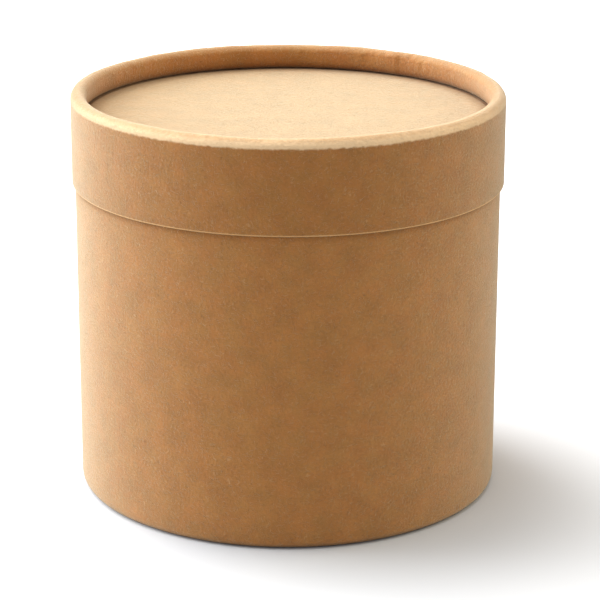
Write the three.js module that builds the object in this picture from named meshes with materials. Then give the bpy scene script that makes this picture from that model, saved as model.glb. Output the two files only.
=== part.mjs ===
// Round two-piece cardboard tub, closed.
// The tub is a wound board tube, curled inwards at its foot under a recessed base disc.
// The lid is a shorter, wider ring that slips over the tub, and its upper edge is rolled
// inwards over a recessed disc.
// Millimetres, +Z up. The origin is on the tub's axis, in the plane that the tub stands on.
import * as THREE from 'three';

// Overall
const OVERALL_HEIGHT = 100;

// Tub
const TUB_OUTER_RADIUS = 52.5;
const TUB_BOARD = 1.0;
const FOOT_CURL_RADIUS = 2.0; // outside radius of the curled foot
const FOOT_FLAT = 0.8; // width of the ring that touches the ground
const BASE_RECESS = 6.0; // from the ground up to the base disc
const BASE_BOARD = 1.5;

// Lid
const LID_BOARD = 0.6;
const LID_HEIGHT = 22.7;
const RIM_CURL_RADIUS = 1.9; // outside radius of the rolled rim
const RIM_FLAT = 0; // width of the flat along the rim's crest
const LID_RECESS = 6.2; // from the rim's crest down to the lid's disc
const LID_DISC_BOARD = 1.2;

// Fits
const LID_CLEARANCE = 0.2; // radial gap between the lid's ring and the tub
const DISC_CLEARANCE = 0.1; // radial gap round a disc
const GLUE_LINE = 0.05; // between a disc and the curl that it is glued to
const LID_SEAT = 0.1; // between the lid's disc and the tub's upper edge
const EDGE_EASE = 0.25; // radius worn on the outer corner of a cut edge

// Facets
const TURN_STEPS = 72;
const ARC_STEPS = 2; // a quarter turn of a curl has twice as many faces
const SAME_POINT = 1e-4;

// Kraft board, lighter on the lid's disc, which faces up
const wallBoard = new THREE.MeshStandardMaterial({ color: 0xc4915c, roughness: 0.9, metalness: 0 });
const lidBoard = new THREE.MeshStandardMaterial({ color: 0xc79560, roughness: 0.9, metalness: 0 });
const discBoard = new THREE.MeshStandardMaterial({ color: 0xd0a070, roughness: 0.9, metalness: 0 });
const baseBoard = new THREE.MeshStandardMaterial({ color: 0xbc8a56, roughness: 0.9, metalness: 0 });

// Worked out from the driving dimensions
const tubInnerRadius = TUB_OUTER_RADIUS - TUB_BOARD;
const lidInnerRadius = TUB_OUTER_RADIUS + LID_CLEARANCE;
const lidOuterRadius = lidInnerRadius + LID_BOARD;
const lidDiscTop = OVERALL_HEIGHT - LID_RECESS - GLUE_LINE;
const lidDiscUnderside = lidDiscTop - LID_DISC_BOARD;
const tubHeight = lidDiscUnderside - LID_SEAT;
const baseUnderside = BASE_RECESS + GLUE_LINE;

// Points of a path, less any that coincide with the one before
function profile(path) {
  const points = path.getPoints(ARC_STEPS);
  return points.filter((point, i) => i === 0 || point.distanceTo(points[i - 1]) > SAME_POINT);
}

// A profile of (radius, height) turned round +Z
function turned(path) {
  const geometry = new THREE.LatheGeometry(profile(path), TURN_STEPS);
  geometry.rotateX(Math.PI / 2);
  return geometry;
}

// Section through a tube wall of even board, with a cut edge at the bottom and a curled edge at the
// top. The board goes over the crest, at height 0, down inside and back out towards the wall, so
// that its end lies curlDepth below the crest.
function curledWall({ outerRadius, board, height, curlRadius, flat, curlDepth }) {
  const innerRadius = outerRadius - board;
  const outerCentre = outerRadius - curlRadius;
  const innerCentre = outerCentre - flat;
  const upperCentre = -curlRadius;
  const lowerCentre = curlRadius - curlDepth;
  const insideCurl = curlRadius - board;
  const quarter = Math.PI / 2;
  const section = new THREE.Path();

  // Cut edge, and the outside of the board up the wall, over the crest and round the curl
  section.moveTo(innerRadius, -height);
  section.lineTo(outerRadius - EDGE_EASE, -height);
  section.absarc(outerRadius - EDGE_EASE, EDGE_EASE - height, EDGE_EASE, -quarter, 0, false);
  section.absarc(outerCentre, upperCentre, curlRadius, 0, quarter, false);
  section.absarc(innerCentre, upperCentre, curlRadius, quarter, 2 * quarter, false);
  section.absarc(innerCentre, lowerCentre, curlRadius, 2 * quarter, 3 * quarter, false);

  // Inside of the board, back round the curl and down the wall
  section.absarc(innerCentre, lowerCentre, insideCurl, 3 * quarter, 2 * quarter, true);
  section.absarc(innerCentre, upperCentre, insideCurl, 2 * quarter, quarter, true);
  section.absarc(outerCentre, upperCentre, insideCurl, quarter, 0, true);
  section.lineTo(innerRadius, -height);
  return turned(section);
}

// Flat disc of board, from its underside at height 0
function disc(radius, board) {
  const section = new THREE.Path();
  section.moveTo(0, 0);
  section.lineTo(radius, 0);
  section.lineTo(radius, board);
  section.lineTo(0, board);
  return turned(section);
}

function piece(name, geometry, material, z) {
  const mesh = new THREE.Mesh(geometry, material);
  mesh.name = name;
  mesh.position.z = z;
  return mesh;
}

// The tub's wall is the curled wall stood on its curl
function makeTub() {
  const wall = curledWall({
    outerRadius: TUB_OUTER_RADIUS,
    board: TUB_BOARD,
    height: tubHeight,
    curlRadius: FOOT_CURL_RADIUS,
    flat: FOOT_FLAT,
    curlDepth: BASE_RECESS,
  });
  wall.rotateX(Math.PI);
  const tub = new THREE.Group();
  tub.add(piece('tub_wall', wall, wallBoard, 0));
  tub.add(piece('base_disc', disc(tubInnerRadius - DISC_CLEARANCE, BASE_BOARD), baseBoard, baseUnderside));
  return tub;
}

function makeLid() {
  const wall = curledWall({
    outerRadius: lidOuterRadius,
    board: LID_BOARD,
    height: LID_HEIGHT,
    curlRadius: RIM_CURL_RADIUS,
    flat: RIM_FLAT,
    curlDepth: LID_RECESS,
  });
  const lid = new THREE.Group();
  lid.add(piece('lid_wall', wall, lidBoard, OVERALL_HEIGHT));
  lid.add(piece('lid_disc', disc(lidInnerRadius - DISC_CLEARANCE, LID_DISC_BOARD), discBoard, lidDiscUnderside));
  return lid;
}

const model = new THREE.Group();
model.add(makeTub());
model.add(makeLid());

export default model;
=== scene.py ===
"""Round two-piece kraft cardboard tub with a rolled-rim lid, dressed for rendering.

Each piece of board is an outline of its section that a Geometry Nodes tree turns round the tub's
axis, with the waver, crimps and overlap that wound and curled board has. The paper's look comes
from shader node groups that all its materials share.
"""

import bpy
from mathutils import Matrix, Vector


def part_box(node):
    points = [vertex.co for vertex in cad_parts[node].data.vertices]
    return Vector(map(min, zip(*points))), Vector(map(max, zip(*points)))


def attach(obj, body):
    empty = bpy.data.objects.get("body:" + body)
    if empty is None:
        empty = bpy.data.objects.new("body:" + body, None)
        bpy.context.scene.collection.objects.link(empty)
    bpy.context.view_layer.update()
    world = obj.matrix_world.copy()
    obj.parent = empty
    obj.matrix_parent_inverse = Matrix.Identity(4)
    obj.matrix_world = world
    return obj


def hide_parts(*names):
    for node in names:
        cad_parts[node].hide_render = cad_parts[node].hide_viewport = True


bl_info = {
    "name": "Kraft Cardboard Tub",
    "version": (1, 0, 0),
    "blender": (4, 5, 0),
    "location": "View3D > Sidebar > Tub",
    "description": "Makes a round kraft cardboard tub with a slip-over lid, and a studio stage for it",
    "category": "Add Mesh",
}

import math

import bmesh
import bpy
from bpy.props import FloatProperty, FloatVectorProperty, IntProperty, PointerProperty
from bpy.types import Operator, Panel, PropertyGroup
from mathutils import Matrix, Vector

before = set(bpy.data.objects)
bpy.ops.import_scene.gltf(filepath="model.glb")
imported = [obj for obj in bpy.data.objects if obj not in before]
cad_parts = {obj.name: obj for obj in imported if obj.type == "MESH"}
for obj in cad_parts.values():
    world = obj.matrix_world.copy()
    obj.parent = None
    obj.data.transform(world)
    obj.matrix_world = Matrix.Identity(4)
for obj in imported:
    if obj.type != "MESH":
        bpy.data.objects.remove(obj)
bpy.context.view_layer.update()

FRONT = -math.pi / 2

# Places that the frame gives
TUB_LOW, TUB_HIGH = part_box("tub_wall")
LID_LOW, LID_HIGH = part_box("lid_wall")
BASE_LOW, BASE_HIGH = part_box("base_disc")
DISC_LOW, DISC_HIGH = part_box("lid_disc")

# Points of a section
WALL_PITCH = 0.003  # up the straight part of a wall
CURL_PITCH = 0.001  # down the straight part of a curl
DISC_STEPS = 14  # from a disc's middle to its edge
EASE_STEPS = 3  # in an eased corner
SAME_POINT = 1e-6

# Where the outer ply ends, as an angle from +X
TUB_SEAM = math.pi / 2 + 0.35
LID_SEAM = math.radians(55)

# Crimps, which are the wrinkles in the rolled rim
CRIMP_NEAR = 0.004  # from the ply's end, up to where they are at their deepest
CRIMP_FAR = 0.018  # from the ply's end, where they are down to their share
CRIMP_SHARE = 0.35  # of their depth, further round
CRIMP_FOOT = 0.005  # below the crest, where they begin
CRIMP_TOP = 0.0015  # below the crest, where they are at their deepest

# Kraft paper
SHEEN = 0.78
SHEEN_ROUGHNESS = 0.5
SHEEN_TINT = (0.93, 0.97, 0.79, 1)
SPECULAR = 0.15
BUMP_HEIGHT = 0.0001
WARM_PATCH = (1.03, 0.97, 0.92, 1)
COOL_PATCH = (0.985, 1.015, 0.985, 1)
DISC_PATCHES = 0.35
TUB_PLY = 0.00025
LID_PLY = 0.0002

# Rubbed paper with a painted highlight along the rim's crest, and the pale lip beside a cut edge, made
# paler as painted light
CREST_HIGHLIGHT_FRONT = -0.052  # along Y, where the painted highlight on the crest is strongest
CREST_RUB_AND_HIGHLIGHT = dict(Reach=0.0019, Fade=0.0006, Ragged=0.001, Far_Amount=0.22)
# Pale frayed fibre beside a cut edge, made paler still as painted light
CUT_LIP = dict(Reach=0.00026, Fade=0.00014, Ragged=0.00015)

# Shade where two pieces meet
# Painted shade under the lid's edge, faint
LID_EDGE_SHADE = dict(Width=0.0005, Reach=0.002, Amount=0.28, Line_Amount=0.35)
FOOT_SHADE = dict(Width=0.0014, Reach=0.004, Amount=0.4)
GROUND_SHADE = dict(Width=0.005, Reach=0.0019, Amount=0.8, Line_Amount=0)
GROUND_INSET = 0.001  # from the tub's side to the middle of the shade by the ground
BASE_SHADE = dict(Reach=0.005, Amount=0.6, Line=0.0012)
RIM_SHADE = dict(Width=0.0012, Reach=0.0045, Amount=0.6)
DISC_SHADE = dict(Reach=0.0055, Amount=0.6, Line=0.0012)

# The floor as the camera sees it is paper that also gives off light, and more of it further from
# the foot. Each of the two growths has the distances where it starts and ends, and its amounts there
SEEN_FLOOR = (0.61, 0.631, 0.663, 1)
LIGHT_CENTRE = (0.015, -0.020, 0.0)
NEAR_LIGHT = (0.036, 0.09, 0.0, 0.37)
FAR_LIGHT = (0.2, 0.6, 0.0, 0.63)

# Stage
FLOOR_HALF = 3.0
LAMP_DISTANCE = 0.8
SENSOR_WIDTH = 36

# Shader node groups that have been built, by the name of the function that builds them
SHARED = {}


# Properties


def length(name, text, default):
    return FloatProperty(name=name, description=text, default=default, unit="LENGTH", subtype="DISTANCE")


def colour(name, text, default):
    return FloatVectorProperty(
        name=name, description=text, default=default, size=3, min=0, max=1, subtype="COLOR"
    )


def lamp_power(name, text, default):
    return FloatProperty(name=name, description=text, default=default, unit="POWER")


def camera_angle(name, text, degrees):
    return FloatProperty(name=name, description=text, default=math.radians(degrees), subtype="ANGLE")


def face_count(name, text, default, least):
    return IntProperty(name=name, description=text, default=default, min=least)


class BoardSizes(PropertyGroup):
    tub_board: length("Tub Board", "Thickness of the tub's wall", 0.001)
    lid_board: length("Lid Board", "Thickness of the lid's ring", 0.0006)
    foot_curl: length("Foot Curl", "Outside radius of the tub's curled foot", 0.002)
    foot_flat: length("Foot Flat", "Width of the ring that touches the ground", 0.0008)
    rim_curl: length("Rim Curl", "Outside radius of the lid's rolled rim", 0.0019)
    edge_ease: length("Edge Ease", "Radius worn on the outer corner of a cut edge", 0.00022)
    turn_steps: face_count("Turn Steps", "Faces round each piece", 560, 24)
    curl_steps: face_count("Curl Steps", "Faces in a quarter turn of a curl", 7, 2)


class WoundBoard(PropertyGroup):
    waver: length("Waver", "How far a wall wanders inwards from a true circle", 0.00012)
    crest_waver: length("Crest Waver", "How far the rolled rim dips below its highest point", 0.00022)
    crimp_depth: length("Crimp Depth", "Depth of the wrinkles where the rim is rolled", 0.00045)
    crimp_pitch: length("Crimp Pitch", "Distance between wrinkles", 0.002)
    overlap_step: length("Overlap Step", "Thickness of the outer ply where its end shows", 0.00016)
    overlap_fade: length("Overlap Fade", "How soon the wall is round again past the ply's end", 0.012)
    bow: length("Bow", "How far a disc sinks between its edge and its middle", 0.00015)


class KraftColours(PropertyGroup):
    tub: colour("Tub", "Kraft paper of the tub's wall", (0.44, 0.187, 0.049))
    # The lid's ring is a little darker than the tub's wall: painted shade, for the weaker light from the
    # floor that reaches it
    lid: colour("Lid", "Kraft paper of the lid's ring", (0.405, 0.168, 0.041))
    disc: colour("Lid Disc", "Kraft paper of the lid's disc", (0.45, 0.243, 0.098))
    base: colour("Base Disc", "Kraft paper of the base", (0.45, 0.195, 0.058))
    fibre: colour("Fibre", "Pale fibres on the paper", (0.70, 0.43, 0.21))
    fleck: colour("Fleck", "Dark flecks in the paper", (0.20, 0.075, 0.02))
    # The cut edge's colour also paints the pale lip beside it, made paler as painted light
    cut_edge: colour("Cut Edge", "Plies that a cut edge shows", (0.78, 0.45, 0.19))
    # Painted highlight: the crest's paper is paler partly from rubbing and partly as a painted highlight,
    # brightest lower down the curl
    pale_and_lit: colour("Paler", "Rubbed paper along the rim's crest", (0.62, 0.36, 0.17))
    shoulder_highlight: colour("Shoulder", "Rubbed paper just outside the rim's crest", (0.97, 0.68, 0.40))
    # Painted shade: colour of the dark line and the softer shade in the corners between pieces
    corner: colour("Corner", "Dark line in the corner between two pieces", (0.15, 0.05, 0.01))


class StudioLook(PropertyGroup):
    key_power: lamp_power("Key", "Power of the large lamp at the left", 14.0)
    side_power: lamp_power("Side", "Power of the small lamp at the left", 1.5)
    fill_power: lamp_power("Fill", "Power of the lamp at the right", 2.6)
    fill_tint: colour("Fill Tint", "Colour of the lamp at the right", (1.0, 0.83, 0.51))
    top_power: lamp_power("Top", "Power of the lamp overhead", 2.1)
    room: FloatProperty(name="Room", description="Light from all round", default=0.505, min=0)
    floor: colour("Floor", "Colour of the floor", (0.50, 0.50, 0.49))
    lens: FloatProperty(name="Lens", description="Focal length", default=0.147158, unit="CAMERA")
    distance: length("Distance", "From the camera to the middle of the foot", 0.632316)
    elevation: camera_angle("Elevation", "Height of the camera above the ground", 21.6803)
    pitch: camera_angle("Pitch", "How far the camera looks down", 17.7643)
    yaw: camera_angle("Yaw", "How far the camera looks to the right", 0.2953)
    roll: camera_angle("Roll", "How far the camera leans", 0.1919)


# Sections of the board


def arc(centre, radius, start, end, steps):
    """Points of a quarter or half turn, with angles in quarter turns."""
    angles = [(start + (end - start) * i / steps) * math.pi / 2 for i in range(steps + 1)]
    return [(centre[0] + radius * math.cos(a), centre[1] + radius * math.sin(a)) for a in angles]


def straight(start, end, pitch):
    """Points between two others, leaving both out."""
    count = max(1, round(math.dist(start, end) / pitch))
    shares = [i / count for i in range(1, count)]
    return [(start[0] + (end[0] - start[0]) * t, start[1] + (end[1] - start[1]) * t) for t in shares]


def curled_wall_section(outer, board, height, curl, flat, depth, sizes):
    """Outline of a wall, its crest at height 0 and its cut edge below, with how much each point
    belongs to the curl (0 to 1) and to the outer face (0 or 1)."""
    ease = sizes.edge_ease
    steps = sizes.curl_steps
    outer_centre = (outer - curl, -curl)
    inner_centre = (outer - curl - flat, -curl)
    low_centre = (inner_centre[0], curl - depth)
    inside = curl - board
    outside = [(outer - board, -height)]
    outside += arc((outer - ease, ease - height), ease, -1, 0, EASE_STEPS)
    outside += straight(outside[-1], (outer, -curl), WALL_PITCH)
    wall_count = len(outside)
    outside += arc(outer_centre, curl, 0, 1, steps)
    outside += arc(inner_centre, curl, 1, 2, steps)
    outside += straight(outside[-1], (inner_centre[0] - curl, low_centre[1]), CURL_PITCH)
    outside += arc(low_centre, curl, 2, 3, steps)
    back = arc(low_centre, inside, 3, 2, steps)
    back += straight(back[-1], (inner_centre[0] - inside, -curl), CURL_PITCH)
    back += arc(inner_centre, inside, 2, 1, steps)
    back += arc(outer_centre, inside, 1, 0, steps)
    back += straight(back[-1], (outer - board, -height), WALL_PITCH)
    points = []
    for i, (radius, z) in enumerate(outside + back):
        if points and math.dist(points[-1][:2], (radius, z)) < SAME_POINT:
            continue
        is_rolled = i >= wall_count and z > -depth - board
        in_curl = min(1.0, max(0.0, (outer - radius) / curl)) if is_rolled else 0.0
        points.append((radius, z, in_curl, 1.0 if i < len(outside) else 0.0))
    return points


def disc_section(radius, low, high, ease):
    """Outline of a disc from the axis out along its underside and back along its top."""
    pitch = radius / DISC_STEPS
    points = [(0.0, low)]
    points += straight((0.0, low), (radius - ease, low), pitch)
    points += arc((radius - ease, low + ease), ease, -1, 0, EASE_STEPS)
    points += arc((radius - ease, high - ease), ease, 0, 1, EASE_STEPS)
    points += straight((radius - ease, high), (0.0, high), pitch)
    points.append((0.0, high))
    return [(r, z, 0.0, 1.0) for r, z in points]


# Geometry Nodes


class Tree:
    """A node tree under construction."""

    def __init__(self, name, kind):
        self.tree = bpy.data.node_groups.new(name, kind)
        self.place = 0

    def socket(self, name, kind, default=None, out=False):
        item = self.tree.interface.new_socket(name, in_out="OUTPUT" if out else "INPUT", socket_type=kind)
        if default is not None:
            item.default_value = default

    def add(self, kind, **settings):
        node = self.tree.nodes.new(kind)
        for key, value in settings.items():
            setattr(node, key, value)
        self.place += 180
        node.location.x = self.place
        return node

    def feed(self, socket, value):
        """Links a socket, or sets it to a value."""
        if isinstance(value, bpy.types.NodeSocket):
            self.tree.links.new(value, socket)
        else:
            socket.default_value = value

    def math(self, operation, *values, clamp=False):
        node = self.add("ShaderNodeMath", operation=operation, use_clamp=clamp)
        for socket, value in zip(node.inputs, values):
            self.feed(socket, value)
        return node.outputs[0]

    def vector(self, operation, *values, scale=None):
        node = self.add("ShaderNodeVectorMath", operation=operation)
        for socket, value in zip(node.inputs, values):
            self.feed(socket, value)
        if scale is not None:
            self.feed(node.inputs["Scale"], scale)
        return node.outputs["Value" if operation == "LENGTH" else "Vector"]

    def split(self, value):
        node = self.add("ShaderNodeSeparateXYZ")
        self.feed(node.inputs[0], value)
        return node.outputs

    def join(self, x, y, z):
        node = self.add("ShaderNodeCombineXYZ")
        for socket, value in zip(node.inputs, (x, y, z)):
            self.feed(socket, value)
        return node.outputs[0]

    def ramp(self, value, low, high, start=0.0, end=1.0, smooth=True):
        """value from low to high, as start to end."""
        node = self.add("ShaderNodeMapRange", interpolation_type="SMOOTHSTEP" if smooth else "LINEAR")
        for socket, given in zip(node.inputs, (value, low, high, start, end)):
            self.feed(socket, given)
        return node.outputs[0]

    def noise(self, vector, scale, detail=2.0, roughness=0.5):
        node = self.add("ShaderNodeTexNoise")
        self.feed(node.inputs["Vector"], vector)
        self.feed(node.inputs["Scale"], scale)
        node.inputs["Detail"].default_value = detail
        node.inputs["Roughness"].default_value = roughness
        return node.outputs["Fac"]

    def mix(self, share, first, second):
        node = self.add("ShaderNodeMix", data_type="RGBA")
        self.feed(node.inputs[0], share)
        self.feed(node.inputs[6], first)
        self.feed(node.inputs[7], second)
        return node.outputs[2]


def named(tree, name):
    node = tree.add("GeometryNodeInputNamedAttribute", data_type="FLOAT")
    node.inputs["Name"].default_value = name
    return node.outputs["Attribute"]


def turned_board_tree():
    """Turns a section round the axis, and gives it the unevenness of wound and curled board."""
    t = Tree("turned_board", "GeometryNodeTree")
    t.socket("Geometry", "NodeSocketGeometry", out=True)
    t.socket("Section", "NodeSocketGeometry")
    for name, default in (
        ("Radius", 0.05),
        ("Waver", 0.0001),
        ("Crest", 0.1),
        ("Crest Reach", 0.004),
        ("Crest Waver", 0.0),
        ("Crimp Depth", 0.0),
        ("Crimp Pitch", 0.0016),
        ("Overlap Angle", 0.0),
        ("Overlap Step", 0.0),
        ("Overlap Fade", 0.01),
        ("Bow", 0.0),
        ("Seed", 0.0),
    ):
        t.socket(name, "NodeSocketFloat", default)
    t.socket("Steps", "NodeSocketInt", 96)
    t.socket("Material", "NodeSocketMaterial")
    given = t.add("NodeGroupInput").outputs

    # Turn the section round +Z
    section = t.add("GeometryNodeMeshToCurve")
    t.feed(section.inputs[0], given["Section"])
    circle = t.add("GeometryNodeCurvePrimitiveCircle")
    t.feed(circle.inputs["Resolution"], given["Steps"])
    t.feed(circle.inputs["Radius"], given["Radius"])
    upright = t.add("GeometryNodeSetCurveNormal", mode="Z_UP")
    t.feed(upright.inputs[0], circle.outputs[0])
    sweep = t.add("GeometryNodeCurveToMesh")
    t.feed(sweep.inputs["Curve"], upright.outputs[0])
    t.feed(sweep.inputs["Profile Curve"], section.outputs[0])
    merge = t.add("GeometryNodeMergeByDistance")
    t.feed(merge.inputs[0], sweep.outputs[0])
    merge.inputs["Distance"].default_value = SAME_POINT

    # Where a point is: its direction from the axis, its height, and how far round from the seam
    place = t.add("GeometryNodeInputPosition").outputs[0]
    x, y, z = t.split(place)
    flat = t.join(x, y, 0.0)
    outward = t.vector("NORMALIZE", flat)
    radius = t.vector("LENGTH", flat)
    # Noise is read on a circle, so that it joins up with itself all round
    start = t.vector("SCALE", outward, scale=3.0)
    shift = t.join(given["Seed"], 0.0, t.math("MULTIPLY", z, 12.0))
    around = t.vector("ADD", start, shift)
    from_seam = t.math("SUBTRACT", t.math("ARCTAN2", y, x), given["Overlap Angle"])
    past = t.math("MULTIPLY", t.math("FRACT", t.math("DIVIDE", from_seam, 2 * math.pi)), 2 * math.pi)
    past = t.math("MULTIPLY", past, given["Radius"])

    # A wall wanders inwards from a true circle
    waver = t.ramp(t.noise(around, 0.55, 2.0), 0.3, 0.7)
    radial = t.math("MULTIPLY", waver, t.math("MULTIPLY", given["Waver"], -1.0))

    # The outer ply ends in a step, and the wall is round again soon after
    step = t.ramp(past, 0.0, given["Overlap Fade"], 1.0, 0.0)
    step = t.math("MULTIPLY", t.math("MULTIPLY", step, named(t, "outside")), given["Overlap Step"])
    radial = t.math("SUBTRACT", radial, step)

    # The crest is a little uneven
    near_crest = t.ramp(z, t.math("SUBTRACT", given["Crest"], given["Crest Reach"]), given["Crest"])
    dip = t.noise(t.vector("ADD", start, t.join(0.0, given["Seed"], 4.0)), 0.8, 3.0)
    dip = t.math("MULTIPLY", t.ramp(dip, 0.3, 0.7), near_crest)
    drop = t.math("MULTIPLY", dip, given["Crest Waver"])

    # Crimps stand across the curl, in clusters, and are deepest by the ply's end
    turns = t.math("DIVIDE", given["Radius"], given["Crimp Pitch"])
    slant = t.join(0.0, 0.0, t.math("MULTIPLY", z, 420.0))
    fine = t.noise(t.vector("ADD", t.vector("SCALE", outward, scale=turns), slant), 1.0, 2.0)
    cluster = t.ramp(t.noise(t.vector("ADD", start, t.join(7.0, given["Seed"], 1.0)), 1.1, 1.0), 0.38, 0.62)
    whole = t.math("MULTIPLY", given["Radius"], 2 * math.pi)
    from_end = t.math("MINIMUM", past, t.math("SUBTRACT", whole, past))
    by_end = t.ramp(from_end, CRIMP_NEAR, CRIMP_FAR, 1.0, 0.0)
    cluster = t.math("MAXIMUM", t.math("MULTIPLY", cluster, CRIMP_SHARE), by_end)
    crimp = t.math("MULTIPLY", t.ramp(fine, 0.35, 0.68), t.math("MULTIPLY", cluster, named(t, "curl")))
    begin = t.math("SUBTRACT", given["Crest"], CRIMP_FOOT)
    high = t.ramp(z, begin, t.math("SUBTRACT", given["Crest"], CRIMP_TOP))
    crimp = t.math("MULTIPLY", t.math("MULTIPLY", crimp, high), given["Crimp Depth"])
    radial = t.math("ADD", radial, crimp)

    # A disc bows down towards its middle
    share = t.math("DIVIDE", radius, given["Radius"])
    sink = t.math("SUBTRACT", 1.0, t.math("POWER", share, 2.0))
    uneven = t.ramp(t.noise(t.vector("ADD", place, t.join(given["Seed"], 0.0, 0.0)), 28.0, 1.0), 0.3, 0.7)
    sink = t.math("MULTIPLY", t.math("MULTIPLY", sink, t.math("ADD", uneven, 0.5)), given["Bow"])
    drop = t.math("ADD", drop, sink)

    moved = t.vector("SCALE", outward, scale=radial)
    moved = t.vector("ADD", moved, t.join(0.0, 0.0, t.math("MULTIPLY", drop, -1.0)))
    shaped = t.add("GeometryNodeSetPosition")
    t.feed(shaped.inputs["Geometry"], merge.outputs[0])
    t.feed(shaped.inputs["Offset"], moved)
    real = t.add("GeometryNodeRealizeInstances")
    t.feed(real.inputs[0], shaped.outputs[0])
    paint = t.add("GeometryNodeSetMaterial")
    t.feed(paint.inputs["Geometry"], real.outputs[0])
    t.feed(paint.inputs["Material"], given["Material"])
    t.feed(t.add("NodeGroupOutput").inputs[0], paint.outputs[0])
    return t.tree


def section_mesh(name, points, radius, closed):
    """The section as edges, laid out as a profile: x outwards from the given radius, y down."""
    mesh = bpy.data.meshes.new(name)
    count = len(points)
    edges = [(i, i + 1) for i in range(count - 1)]
    if closed:
        edges.append((count - 1, 0))
    mesh.from_pydata([(r - radius, -z, 0.0) for r, z, _, _ in points], edges, [])
    along = 0.0
    tables = {"along": [], "curl": [], "outside": []}
    for i, (r, z, curl, outside) in enumerate(points):
        if i:
            along += math.dist((r, z), points[i - 1][:2])
        tables["along"].append(along)
        tables["curl"].append(curl)
        tables["outside"].append(outside)
    for key, values in tables.items():
        mesh.attributes.new(key, "FLOAT", "POINT").data.foreach_set("value", values)
    return mesh


def turn(name, points, material, closed=True, **values):
    """A plain mesh object made by turning a section, with its faces pointing out."""
    tree = bpy.data.node_groups.get("turned_board") or turned_board_tree()
    piece = bpy.data.objects.new(name, section_mesh(name, points, values["Radius"], closed))
    bpy.context.scene.collection.objects.link(piece)
    modifier = piece.modifiers.new("turn", "NODES")
    modifier.node_group = tree
    values["Material"] = material
    for item in tree.interface.items_tree:
        key = item.name.replace(" ", "_")
        if item.in_out == "INPUT" and key in values:
            modifier[item.identifier] = values[key]
    graph = bpy.context.evaluated_depsgraph_get()
    turned = bpy.data.meshes.new_from_object(
        piece.evaluated_get(graph), preserve_all_data_layers=True, depsgraph=graph
    )
    piece.modifiers.clear()
    piece.data = turned
    turned.name = name
    shell = bmesh.new()
    shell.from_mesh(turned)
    bmesh.ops.recalc_face_normals(shell, faces=shell.faces)
    shell.to_mesh(turned)
    shell.free()
    turned.shade_smooth()
    turned.set_sharp_from_angle(angle=math.radians(40))
    return piece


# Shader node groups


def unrolled_group():
    """Object coordinates and the distance along the section, as a flat sheet: x round, y along."""
    t = Tree("unrolled_sheet", "ShaderNodeTree")
    t.socket("Sheet", "NodeSocketVector", out=True)
    t.socket("Object", "NodeSocketVector")
    t.socket("Along", "NodeSocketFloat")
    t.socket("Radius", "NodeSocketFloat", 0.05)
    given = t.add("NodeGroupInput").outputs
    x, y, _ = t.split(given["Object"])
    # The angle is measured from the front, so that it jumps at the back
    turned = t.math("ARCTAN2", x, t.math("MULTIPLY", y, -1.0))
    sheet = t.join(t.math("MULTIPLY", turned, given["Radius"]), given["Along"], 0.0)
    t.feed(t.add("NodeGroupOutput").inputs["Sheet"], sheet)
    return t.tree


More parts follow.
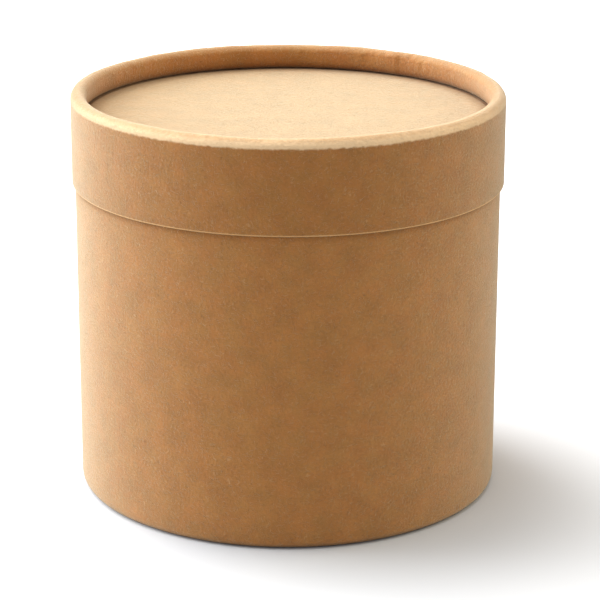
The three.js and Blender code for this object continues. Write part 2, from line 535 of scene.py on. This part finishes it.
def kraft_group():
    """Kraft paper on a flat sheet in metres: mottle, grain, pale fibres and dark flecks."""
    t = Tree("kraft_paper", "ShaderNodeTree")
    t.socket("Color", "NodeSocketColor", out=True)
    t.socket("Roughness", "NodeSocketFloat", out=True)
    t.socket("Height", "NodeSocketFloat", out=True)
    t.socket("Sheet", "NodeSocketVector")
    t.socket("Paper", "NodeSocketColor", (0.5, 0.3, 0.13, 1))
    t.socket("Fibre", "NodeSocketColor", (0.8, 0.6, 0.3, 1))
    t.socket("Fleck", "NodeSocketColor", (0.2, 0.1, 0.04, 1))
    t.socket("Mottle", "NodeSocketFloat", 0.12)
    t.socket("Patches", "NodeSocketFloat", 1.0)
    t.socket("Grain", "NodeSocketFloat", 0.12)
    t.socket("Fibres", "NodeSocketFloat", 0.3)
    t.socket("Flecks", "NodeSocketFloat", 0.5)
    t.socket("Roughness", "NodeSocketFloat", 0.8)
    given = t.add("NodeGroupInput").outputs
    # In millimetres from here on
    sheet = t.vector("SCALE", given["Sheet"], scale=1000.0)

    # Shade: cloudy mottle a few millimetres across, over a fine grain
    cloud = t.ramp(t.noise(sheet, 0.16, 3.0, 0.55), 0.25, 0.75, -1.0, 1.0, smooth=False)
    grain = t.ramp(t.noise(sheet, 1.35, 3.0, 0.6), 0.25, 0.75, -1.0, 1.0, smooth=False)
    shade = t.math("MULTIPLY", cloud, given["Mottle"])
    shade = t.math("ADD", shade, t.math("MULTIPLY", grain, given["Grain"]))
    shade = t.math("ADD", shade, 1.0)
    paper = t.vector("SCALE", given["Paper"], scale=shade)
    patch = t.ramp(t.noise(t.vector("ADD", sheet, (40.0, 9.0, 3.0)), 0.22, 2.0, 0.6), 0.3, 0.7)
    patch = t.mix(patch, WARM_PATCH, COOL_PATCH)
    paper = t.vector("MULTIPLY", paper, t.mix(given["Patches"], (1, 1, 1, 1), patch))

    # Fibres lie both ways, and bend a little
    bend = t.vector("SCALE", t.join(t.noise(sheet, 0.5), t.noise(sheet, 0.6), 0.0), scale=2.5)
    bent = t.vector("ADD", sheet, bend)
    lying = t.noise(t.vector("MULTIPLY", bent, (0.75, 4.2, 1.0)), 1.0, 1.0)
    standing = t.noise(t.vector("MULTIPLY", bent, (4.2, 0.75, 1.0)), 1.0, 1.0)
    pale = t.math("MAXIMUM", t.ramp(lying, 0.62, 0.74), t.ramp(standing, 0.62, 0.74))
    dark = t.math("MAXIMUM", t.ramp(lying, 0.38, 0.27), t.ramp(standing, 0.38, 0.27))
    with_pale = t.mix(t.math("MULTIPLY", pale, given["Fibres"]), paper, given["Fibre"])
    dark_share = t.math("MULTIPLY", dark, t.math("MULTIPLY", given["Fibres"], 0.35))
    with_dark = t.mix(dark_share, with_pale, given["Fleck"])

    # Flecks are short dark bits of bark, few and unevenly spread
    cells = t.add("ShaderNodeTexVoronoi", feature="F1")
    t.feed(cells.inputs["Vector"], t.vector("MULTIPLY", bent, (0.42, 0.55, 1.0)))
    cells.inputs["Scale"].default_value = 1.0
    picked = t.ramp(t.split(cells.outputs["Color"])[0], 0.80, 0.86)
    dot = t.ramp(cells.outputs["Distance"], 0.16, 0.07)
    fleck = t.math("MULTIPLY", t.math("MULTIPLY", picked, dot), given["Flecks"])
    coloured = t.mix(fleck, with_dark, given["Fleck"])

    height = t.math("ADD", t.math("MULTIPLY", grain, 0.5), t.math("MULTIPLY", pale, 0.6))
    height = t.math("SUBTRACT", height, t.math("MULTIPLY", dark, 0.3))
    rough = t.math("ADD", given["Roughness"], t.math("MULTIPLY", grain, 0.06), clamp=True)
    out = t.add("NodeGroupOutput").inputs
    t.feed(out["Color"], coloured)
    t.feed(out["Roughness"], rough)
    t.feed(out["Height"], height)
    return t.tree


def cut_edge_group():
    """Plies of a cut edge: a mask where the surface lies in the cut plane, and rings across it."""
    t = Tree("cut_edge", "ShaderNodeTree")
    t.socket("Color", "NodeSocketColor", out=True)
    t.socket("Height", "NodeSocketFloat", out=True)
    t.socket("Object", "NodeSocketVector")
    t.socket("Under", "NodeSocketColor", (0.5, 0.3, 0.13, 1))
    t.socket("Edge", "NodeSocketColor", (0.5, 0.33, 0.18, 1))
    t.socket("Plane", "NodeSocketFloat", 0.0)
    t.socket("Ply", "NodeSocketFloat", 0.00025)
    given = t.add("NodeGroupInput").outputs
    x, y, z = t.split(given["Object"])
    radius = t.vector("LENGTH", t.join(x, y, 0.0))
    off = t.math("ABSOLUTE", t.math("SUBTRACT", z, given["Plane"]))
    mask = t.ramp(off, 0.00003, 0.0002, 1.0, 0.0)
    frayed = t.noise(given["Object"], 1400.0, 3.0)
    turns = t.math("ADD", t.math("DIVIDE", radius, given["Ply"]), frayed)
    wave = t.math("SINE", t.math("MULTIPLY", turns, 2 * math.pi))
    rings = t.math("ADD", t.math("MULTIPLY", wave, 0.5), 0.5)
    shade = t.math("ADD", t.math("MULTIPLY", frayed, 0.4), 0.65)
    tint = t.math("ADD", t.math("MULTIPLY", rings, 0.3), shade)
    edge = t.vector("SCALE", given["Edge"], scale=tint)
    out = t.add("NodeGroupOutput").inputs
    t.feed(out["Color"], t.mix(mask, given["Under"], edge))
    t.feed(out["Height"], t.math("MULTIPLY", t.math("ADD", rings, frayed), mask))
    return t.tree


def pale_and_lit_band_group():
    """A ragged band of paler colour at a height: paper made pale by rubbing with a painted highlight along
    the rim's crest, and the pale lip of a cut edge, made paler as painted light.
    """
    t = Tree("worn_band", "ShaderNodeTree")
    t.socket("Color", "NodeSocketColor", out=True)
    t.socket("Object", "NodeSocketVector")
    t.socket("Under", "NodeSocketColor", (0.5, 0.3, 0.13, 1))
    t.socket("Paler", "NodeSocketColor", (0.7, 0.5, 0.3, 1))
    t.socket("Shoulder", "NodeSocketColor", (0.7, 0.5, 0.3, 1))
    t.socket("Plane", "NodeSocketFloat", 0.0)
    t.socket("Reach", "NodeSocketFloat", 0.001)
    t.socket("Fade", "NodeSocketFloat", 0.0003)
    t.socket("Ragged", "NodeSocketFloat", 0.0004)
    t.socket("Crest Radius", "NodeSocketFloat", 0.0)
    t.socket("Far Amount", "NodeSocketFloat", 1.0)
    given = t.add("NodeGroupInput").outputs
    x, y, z = t.split(given["Object"])
    # Inside the crest's radius the band starts to fade at once, and fades slowly
    radius = t.vector("LENGTH", t.join(x, y, 0.0))
    inwards = t.ramp(t.math("SUBTRACT", given["Crest Radius"], radius), -0.0002, 0.0008)
    off = t.math("ABSOLUTE", t.math("SUBTRACT", z, given["Plane"]))
    torn = t.math("SUBTRACT", t.noise(given["Object"], 800.0, 4.0, 0.65), 0.5)
    off = t.math("ADD", off, t.math("MULTIPLY", torn, given["Ragged"]))
    # The painted highlight is strongest at the front: from the middle back the band has only its far amount
    front_highlight_share = t.ramp(y, CREST_HIGHLIGHT_FRONT, 0.0, 1.0, given["Far Amount"])
    reach = t.math("MULTIPLY", given["Reach"], t.ramp(inwards, 0.0, 1.0, 1.0, 0.1, smooth=False))
    fade = t.math("MULTIPLY", given["Fade"], t.ramp(inwards, 0.0, 1.0, 1.0, 2.5, smooth=False))
    past = t.math("SUBTRACT", off, reach)
    mask = t.math("MULTIPLY", t.ramp(t.math("DIVIDE", past, fade), 0.0, 1.0, 1.0, 0.0), front_highlight_share)
    # Paler paper at the crest, and a brighter painted highlight lower down the curl
    pale_and_lit = t.mix(t.ramp(off, 0.0, 0.0013), given["Paler"], given["Shoulder"])
    t.feed(t.add("NodeGroupOutput").inputs["Color"], t.mix(mask, given["Under"], pale_and_lit))
    return t.tree


def corner_group():
    """Painted shade in the corner where two pieces meet all round, and how much of a place the painted
    shade leaves open.
    """
    t = Tree("corner_shade", "ShaderNodeTree")
    t.socket("Color", "NodeSocketColor", out=True)
    t.socket("Open", "NodeSocketFloat", out=True)
    t.socket("Object", "NodeSocketVector")
    t.socket("Under", "NodeSocketColor", (0.5, 0.3, 0.13, 1))
    t.socket("Shade", "NodeSocketColor", (0.1, 0.04, 0.01, 1))
    t.socket("Radius", "NodeSocketFloat", 0.05)
    t.socket("Height", "NodeSocketFloat", 0.0)
    t.socket("Line", "NodeSocketFloat", 0.0004)
    t.socket("Line Amount", "NodeSocketFloat", 0.8)
    t.socket("Reach", "NodeSocketFloat", 0.005)
    t.socket("Width", "NodeSocketFloat", 0.01)
    t.socket("Amount", "NodeSocketFloat", 0.3)
    given = t.add("NodeGroupInput").outputs
    x, y, z = t.split(given["Object"])
    across = t.math("SUBTRACT", t.vector("LENGTH", t.join(x, y, 0.0)), given["Radius"])
    off = t.vector("LENGTH", t.join(across, t.math("SUBTRACT", z, given["Height"]), 0.0))
    # A thin dark line of painted shade in the corner itself, and softer painted shade around it
    line = t.ramp(t.math("DIVIDE", off, given["Line"]), 0.5, 1.5, given["Line Amount"], 0.0)
    soft = t.ramp(t.math("DIVIDE", off, given["Reach"]), 0.0, 1.0, 1.0, 0.0)
    mask = t.math("MAXIMUM", line, t.math("MULTIPLY", soft, given["Amount"]))
    # Another wall further out or in stays clear
    near = t.ramp(t.math("DIVIDE", t.math("ABSOLUTE", across), given["Width"]), 1.0, 1.3, 1.0, 0.0)
    mask = t.math("MULTIPLY", mask, near)
    out = t.add("NodeGroupOutput").inputs
    t.feed(out["Color"], t.mix(mask, given["Under"], given["Shade"]))
    t.feed(out["Open"], t.math("SUBTRACT", 1.0, mask))
    return t.tree


def group_node(t, build, **values):
    """Places a shared node group in a tree, made the first time that it is needed."""
    group = SHARED.get(build.__name__) or build()
    SHARED[build.__name__] = group
    node = t.add("ShaderNodeGroup")
    node.node_tree = group
    for key, value in values.items():
        t.feed(node.inputs[key.replace("_", " ")], value)
    return node.outputs


class OwnTree(Tree):
    """The node tree of a material or a world, emptied."""

    def __init__(self, owner):
        owner.use_nodes = True
        self.tree = owner.node_tree
        self.tree.nodes.clear()
        self.place = 0


def rgba(values):
    return (*values, 1.0)


def kraft_material(
    name,
    paper,
    radius,
    corners,
    cut_plane=None,
    ply=TUB_PLY,
    crest=None,
    crest_radius=0.0,
    sheet_is_flat=False,
):
    """Kraft paper, then paper paler from rubbing with a painted highlight along the crest, painted shade in
    the corners between pieces, and a cut edge with its pale lip, made paler as painted light.
    """
    colours = bpy.context.scene.tub_colours
    material = bpy.data.materials.new(name)
    t = OwnTree(material)
    place = t.add("ShaderNodeTexCoord").outputs["Object"]
    if sheet_is_flat:
        sheet = place
    else:
        along = t.add("ShaderNodeAttribute", attribute_name="along").outputs["Fac"]
        sheet = group_node(t, unrolled_group, Object=place, Along=along, Radius=radius)["Sheet"]
    kraft = group_node(
        t,
        kraft_group,
        Sheet=sheet,
        Paper=rgba(paper),
        Fibre=rgba(colours.fibre),
        Fleck=rgba(colours.fleck),
        Patches=DISC_PATCHES if sheet_is_flat else 1.0,
    )
    tint = kraft["Color"]
    height = kraft["Height"]
    # Paper paler from rubbing, with a painted highlight, along the rim's crest
    if crest is not None:
        crest_band = dict(Paler=rgba(colours.pale_and_lit), Shoulder=rgba(colours.shoulder_highlight), **CREST_RUB_AND_HIGHLIGHT)
        crest_band.update(Plane=crest, Crest_Radius=crest_radius)
        tint = group_node(t, pale_and_lit_band_group, Object=place, Under=tint, **crest_band)["Color"]
    sheen = SHEEN
    for corner in corners:
        shaded = group_node(t, corner_group, Object=place, Under=tint, Shade=rgba(colours.corner), **corner)
        tint = shaded["Color"]
        # Painted shade also takes the sheen away
        sheen = t.math("MULTIPLY", shaded["Open"], sheen)
    if cut_plane is not None:
        # Beside the cut edge, a pale lip of frayed fibre, made paler as painted light
        pale = rgba(colours.cut_edge)
        lip = dict(Paler=pale, Shoulder=pale, Plane=cut_plane, **CUT_LIP)
        tint = group_node(t, pale_and_lit_band_group, Object=place, Under=tint, **lip)["Color"]
        edge = group_node(t, cut_edge_group, Object=place, Under=tint, Edge=pale, Plane=cut_plane, Ply=ply)
        tint = edge["Color"]
        height = t.math("ADD", height, edge["Height"])
    bump = t.add("ShaderNodeBump")
    bump.inputs["Strength"].default_value = 1.0
    bump.inputs["Distance"].default_value = BUMP_HEIGHT
    t.feed(bump.inputs["Height"], height)
    shader = t.add("ShaderNodeBsdfPrincipled")
    t.feed(shader.inputs["Base Color"], tint)
    t.feed(shader.inputs["Roughness"], kraft["Roughness"])
    t.feed(shader.inputs["Normal"], bump.outputs[0])
    shader.inputs["Specular IOR Level"].default_value = SPECULAR
    t.feed(shader.inputs["Sheen Weight"], sheen)
    shader.inputs["Sheen Roughness"].default_value = SHEEN_ROUGHNESS
    shader.inputs["Sheen Tint"].default_value = SHEEN_TINT
    t.feed(t.add("ShaderNodeOutputMaterial").inputs["Surface"], shader.outputs[0])
    return material


# Pieces


def base_corner(sizes):
    """Radius at which the base disappears behind the curled foot."""
    return TUB_HIGH.x - 2 * sizes.foot_curl - sizes.foot_flat + sizes.foot_curl / 2


def disc_corner(sizes):
    """Radius at which the lid's disc disappears behind the rolled rim."""
    return LID_HIGH.x - 2 * sizes.rim_curl + sizes.rim_curl / 2


def seat(piece, node, body):
    """Puts a piece in place of its node, riding on the node's body."""
    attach(piece, body)
    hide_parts(node)


class TUB_OT_tub_wall(Operator):
    """Make the tub's wound wall, with its curled foot and its cut upper edge"""

    bl_idname = "tub.tub_wall"
    bl_label = "Tub Wall"

    def execute(self, context):
        sizes = context.scene.tub_sizes
        wound = context.scene.tub_wound
        radius = TUB_HIGH.x
        height = TUB_HIGH.z - TUB_LOW.z
        depth = BASE_LOW.z - TUB_LOW.z
        outline = curled_wall_section(
            radius, sizes.tub_board, height, sizes.foot_curl, sizes.foot_flat, depth, sizes
        )
        upside_down = [(r, TUB_LOW.z - z, curl, outside) for r, z, curl, outside in outline]
        # Painted shade: faint under the lid's edge, which stays when the lid is off, then where the base
        # meets the curled foot, and by the ground
        corners = [
            dict(Radius=radius, Height=LID_LOW.z, **LID_EDGE_SHADE),
            dict(Radius=base_corner(sizes), Height=BASE_LOW.z, **FOOT_SHADE),
            dict(Radius=radius - GROUND_INSET, Height=TUB_LOW.z, **GROUND_SHADE),
        ]
        paper = context.scene.tub_colours.tub
        material = kraft_material("tub_kraft", paper, radius, corners, cut_plane=TUB_HIGH.z)
        piece = turn(
            "tub_wall_board",
            upside_down,
            material,
            Radius=radius,
            Steps=sizes.turn_steps,
            Waver=wound.waver,
            Overlap_Angle=TUB_SEAM,
            Overlap_Step=wound.overlap_step,
            Overlap_Fade=wound.overlap_fade,
            Seed=3.0,
        )
        seat(piece, "tub_wall", "tub")
        return {"FINISHED"}


class TUB_OT_base_disc(Operator):
    """Make the recessed base disc"""

    bl_idname = "tub.base_disc"
    bl_label = "Base Disc"

    def execute(self, context):
        sizes = context.scene.tub_sizes
        outline = disc_section(BASE_HIGH.x, BASE_LOW.z, BASE_HIGH.z, sizes.edge_ease)
        # Painted shade where the base meets the curled foot
        corners = [dict(Radius=base_corner(sizes), Height=BASE_LOW.z, **BASE_SHADE)]
        paper = context.scene.tub_colours.base
        material = kraft_material("base_kraft", paper, BASE_HIGH.x, corners, sheet_is_flat=True)
        piece = turn(
            "base_disc_board",
            outline,
            material,
            closed=False,
            Radius=BASE_HIGH.x,
            Steps=sizes.turn_steps,
            Seed=9.0,
        )
        seat(piece, "base_disc", "tub")
        return {"FINISHED"}


class TUB_OT_lid_wall(Operator):
    """Make the lid's wound ring, with its rolled rim"""

    bl_idname = "tub.lid_wall"
    bl_label = "Lid Ring"

    def execute(self, context):
        sizes = context.scene.tub_sizes
        wound = context.scene.tub_wound
        radius = LID_HIGH.x
        height = LID_HIGH.z - LID_LOW.z
        depth = LID_HIGH.z - DISC_HIGH.z
        outline = curled_wall_section(radius, sizes.lid_board, height, sizes.rim_curl, 0.0, depth, sizes)
        lifted = [(r, LID_HIGH.z + z, curl, outside) for r, z, curl, outside in outline]
        # Painted shade where the disc meets the rolled rim
        corners = [dict(Radius=disc_corner(sizes), Height=DISC_HIGH.z, **RIM_SHADE)]
        material = kraft_material(
            "lid_kraft",
            context.scene.tub_colours.lid,
            radius,
            corners,
            cut_plane=LID_LOW.z,
            ply=LID_PLY,
            crest=LID_HIGH.z,
            crest_radius=radius - sizes.rim_curl,
        )
        piece = turn(
            "lid_wall_board",
            lifted,
            material,
            Radius=radius,
            Steps=sizes.turn_steps,
            Waver=wound.waver,
            Crest=LID_HIGH.z,
            Crest_Reach=2 * sizes.rim_curl,
            Crest_Waver=wound.crest_waver,
            Crimp_Depth=wound.crimp_depth,
            Crimp_Pitch=wound.crimp_pitch,
            Overlap_Angle=LID_SEAM,
            Overlap_Step=wound.overlap_step,
            Overlap_Fade=wound.overlap_fade,
            Seed=5.0,
        )
        seat(piece, "lid_wall", "lid")
        return {"FINISHED"}


class TUB_OT_lid_disc(Operator):
    """Make the lid's recessed disc"""

    bl_idname = "tub.lid_disc"
    bl_label = "Lid Disc"

    def execute(self, context):
        sizes = context.scene.tub_sizes
        wound = context.scene.tub_wound
        outline = disc_section(DISC_HIGH.x, DISC_LOW.z, DISC_HIGH.z, sizes.edge_ease)
        # Painted shade where the disc meets the rolled rim
        corners = [dict(Radius=disc_corner(sizes), Height=DISC_HIGH.z, **DISC_SHADE)]
        paper = context.scene.tub_colours.disc
        material = kraft_material("lid_disc_kraft", paper, DISC_HIGH.x, corners, sheet_is_flat=True)
        piece = turn(
            "lid_disc_board",
            outline,
            material,
            closed=False,
            Radius=DISC_HIGH.x,
            Steps=sizes.turn_steps,
            Bow=wound.bow,
            Seed=2.0,
        )
        seat(piece, "lid_disc", "lid")
        return {"FINISHED"}


# Stage


def camera(look):
    """The photograph's camera, at a distance and elevation from the foot."""
    data = bpy.data.cameras.new("camera")
    data.sensor_width = SENSOR_WIDTH
    data.lens = look.lens * 1000
    data.clip_start = 0.01
    data.clip_end = 20
    item = bpy.data.objects.new("camera", data)
    place = Vector((0, -math.cos(look.elevation), math.sin(look.elevation))) * look.distance
    forward = Vector(
        (
            math.sin(look.yaw) * math.cos(look.pitch),
            math.cos(look.yaw) * math.cos(look.pitch),
            -math.sin(look.pitch),
        )
    )
    level = Vector((math.cos(look.yaw), -math.sin(look.yaw), 0))
    down = forward.cross(level)
    right = level * math.cos(look.roll) - down * math.sin(look.roll)
    up = right.cross(forward)
    turned = Matrix((right, up, -forward)).transposed().to_4x4()
    item.matrix_world = Matrix.Translation(place) @ turned
    bpy.context.scene.collection.objects.link(item)
    bpy.context.scene.camera = item


def lamp(name, power, azimuth, elevation, size, tint=(1, 1, 1)):
    """A square soft lamp aimed at the tub. Azimuth 0 is in front, and 90 on the right."""
    data = bpy.data.lights.new(name, "AREA")
    data.shape = "SQUARE"
    data.size = size
    data.energy = power
    data.color = tint
    item = bpy.data.objects.new(name, data)
    heading = FRONT + math.radians(azimuth)
    tilt = math.radians(elevation)
    away = Vector((math.cos(heading) * math.cos(tilt), math.sin(heading) * math.cos(tilt), math.sin(tilt)))
    middle = Vector((0, 0, LID_HIGH.z / 2))
    item.location = middle + away * LAMP_DISTANCE
    item.rotation_euler = away.to_track_quat("Z", "Y").to_euler()
    bpy.context.scene.collection.objects.link(item)


def seen_by_camera(t):
    """1 where the camera looks, straight or by a gloss or through a clear piece, and 0 elsewhere."""
    paths = t.add("ShaderNodeLightPath").outputs
    seen = t.math("MAXIMUM", paths["Is Camera Ray"], paths["Is Glossy Ray"])
    return t.math("MAXIMUM", seen, paths["Is Transmission Ray"])


def floor_material(look):
    """White to the camera where nothing shades it, and a plain pale floor to everything else."""
    material = bpy.data.materials.new("floor_paper")
    t = OwnTree(material)
    plain = t.add("ShaderNodeBsdfDiffuse")
    plain.inputs["Color"].default_value = rgba(look.floor)
    white = t.add("ShaderNodeBsdfDiffuse")
    white.inputs["Color"].default_value = SEEN_FLOOR
    place = t.add("ShaderNodeTexCoord").outputs["Object"]
    away = t.vector("LENGTH", t.vector("SUBTRACT", place, LIGHT_CENTRE))
    light = t.add("ShaderNodeEmission")
    t.feed(light.inputs["Strength"], t.math("ADD", t.ramp(away, *NEAR_LIGHT), t.ramp(away, *FAR_LIGHT)))
    both = t.add("ShaderNodeAddShader")
    t.feed(both.inputs[0], white.outputs[0])
    t.feed(both.inputs[1], light.outputs[0])
    pick = t.add("ShaderNodeMixShader")
    t.feed(pick.inputs[0], seen_by_camera(t))
    t.feed(pick.inputs[1], plain.outputs[0])
    t.feed(pick.inputs[2], both.outputs[0])
    t.feed(t.add("ShaderNodeOutputMaterial").inputs["Surface"], pick.outputs[0])
    return material


def room(look):
    """A pale room that the camera sees as white."""
    world = bpy.data.worlds.new("room")
    bpy.context.scene.world = world
    t = OwnTree(world)
    background = t.add("ShaderNodeBackground")
    background.inputs["Color"].default_value = (1, 1, 1, 1)
    strength = t.ramp(seen_by_camera(t), 0.0, 1.0, look.room, 1.0, smooth=False)
    t.feed(background.inputs["Strength"], strength)
    t.feed(t.add("ShaderNodeOutputWorld").inputs["Surface"], background.outputs[0])


class TUB_OT_stage(Operator):
    """Make the floor, the lamps, the room and the camera"""

    bl_idname = "tub.stage"
    bl_label = "Stage"

    def execute(self, context):
        look = context.scene.tub_stage
        mesh = bpy.data.meshes.new("floor")
        half = FLOOR_HALF
        corners = [(-half, -half, 0), (half, -half, 0), (half, half, 0), (-half, half, 0)]
        mesh.from_pydata(corners, [], [(0, 1, 2, 3)])
        mesh.materials.append(floor_material(look))
        ground = bpy.data.objects.new("floor", mesh)
        context.scene.collection.objects.link(ground)
        lamp("key", look.key_power, azimuth=-119, elevation=33, size=0.9)
        lamp("side", look.side_power, azimuth=-84, elevation=22, size=0.5)
        lamp("fill", look.fill_power, azimuth=100, elevation=25, size=0.5, tint=look.fill_tint)
        lamp("top", look.top_power, azimuth=0, elevation=88, size=0.4)
        room(look)
        camera(look)
        context.scene.view_settings.view_transform = "Standard"
        return {"FINISHED"}


class TUB_PT_panel(Panel):
    """Buttons and settings for the tub"""

    bl_idname = "TUB_PT_panel"
    bl_label = "Cardboard Tub"
    bl_space_type = "VIEW_3D"
    bl_region_type = "UI"
    bl_category = "Tub"

    def draw(self, context):
        layout = self.layout
        for operator in OPERATORS:
            layout.operator(operator.bl_idname)
        for name in SETTINGS:
            group = getattr(context.scene, name)
            box = layout.box()
            for key in group.bl_rna.properties.keys():
                if key not in {"rna_type", "name"}:
                    box.prop(group, key)


SETTINGS = {
    "tub_sizes": BoardSizes,
    "tub_wound": WoundBoard,
    "tub_colours": KraftColours,
    "tub_stage": StudioLook,
}
OPERATORS = (TUB_OT_tub_wall, TUB_OT_base_disc, TUB_OT_lid_wall, TUB_OT_lid_disc, TUB_OT_stage)
CLASSES = (*SETTINGS.values(), *OPERATORS, TUB_PT_panel)


def register():
    for item in CLASSES:
        bpy.utils.register_class(item)
    for name, group in SETTINGS.items():
        setattr(bpy.types.Scene, name, PointerProperty(type=group))


def unregister():
    for name in SETTINGS:
        delattr(bpy.types.Scene, name)
    for item in reversed(CLASSES):
        bpy.utils.unregister_class(item)


def main():
    register()
    bpy.ops.tub.tub_wall()
    bpy.ops.tub.base_disc()
    bpy.ops.tub.lid_wall()
    bpy.ops.tub.lid_disc()
    bpy.ops.tub.stage()


if __name__ == "__main__":
    main()
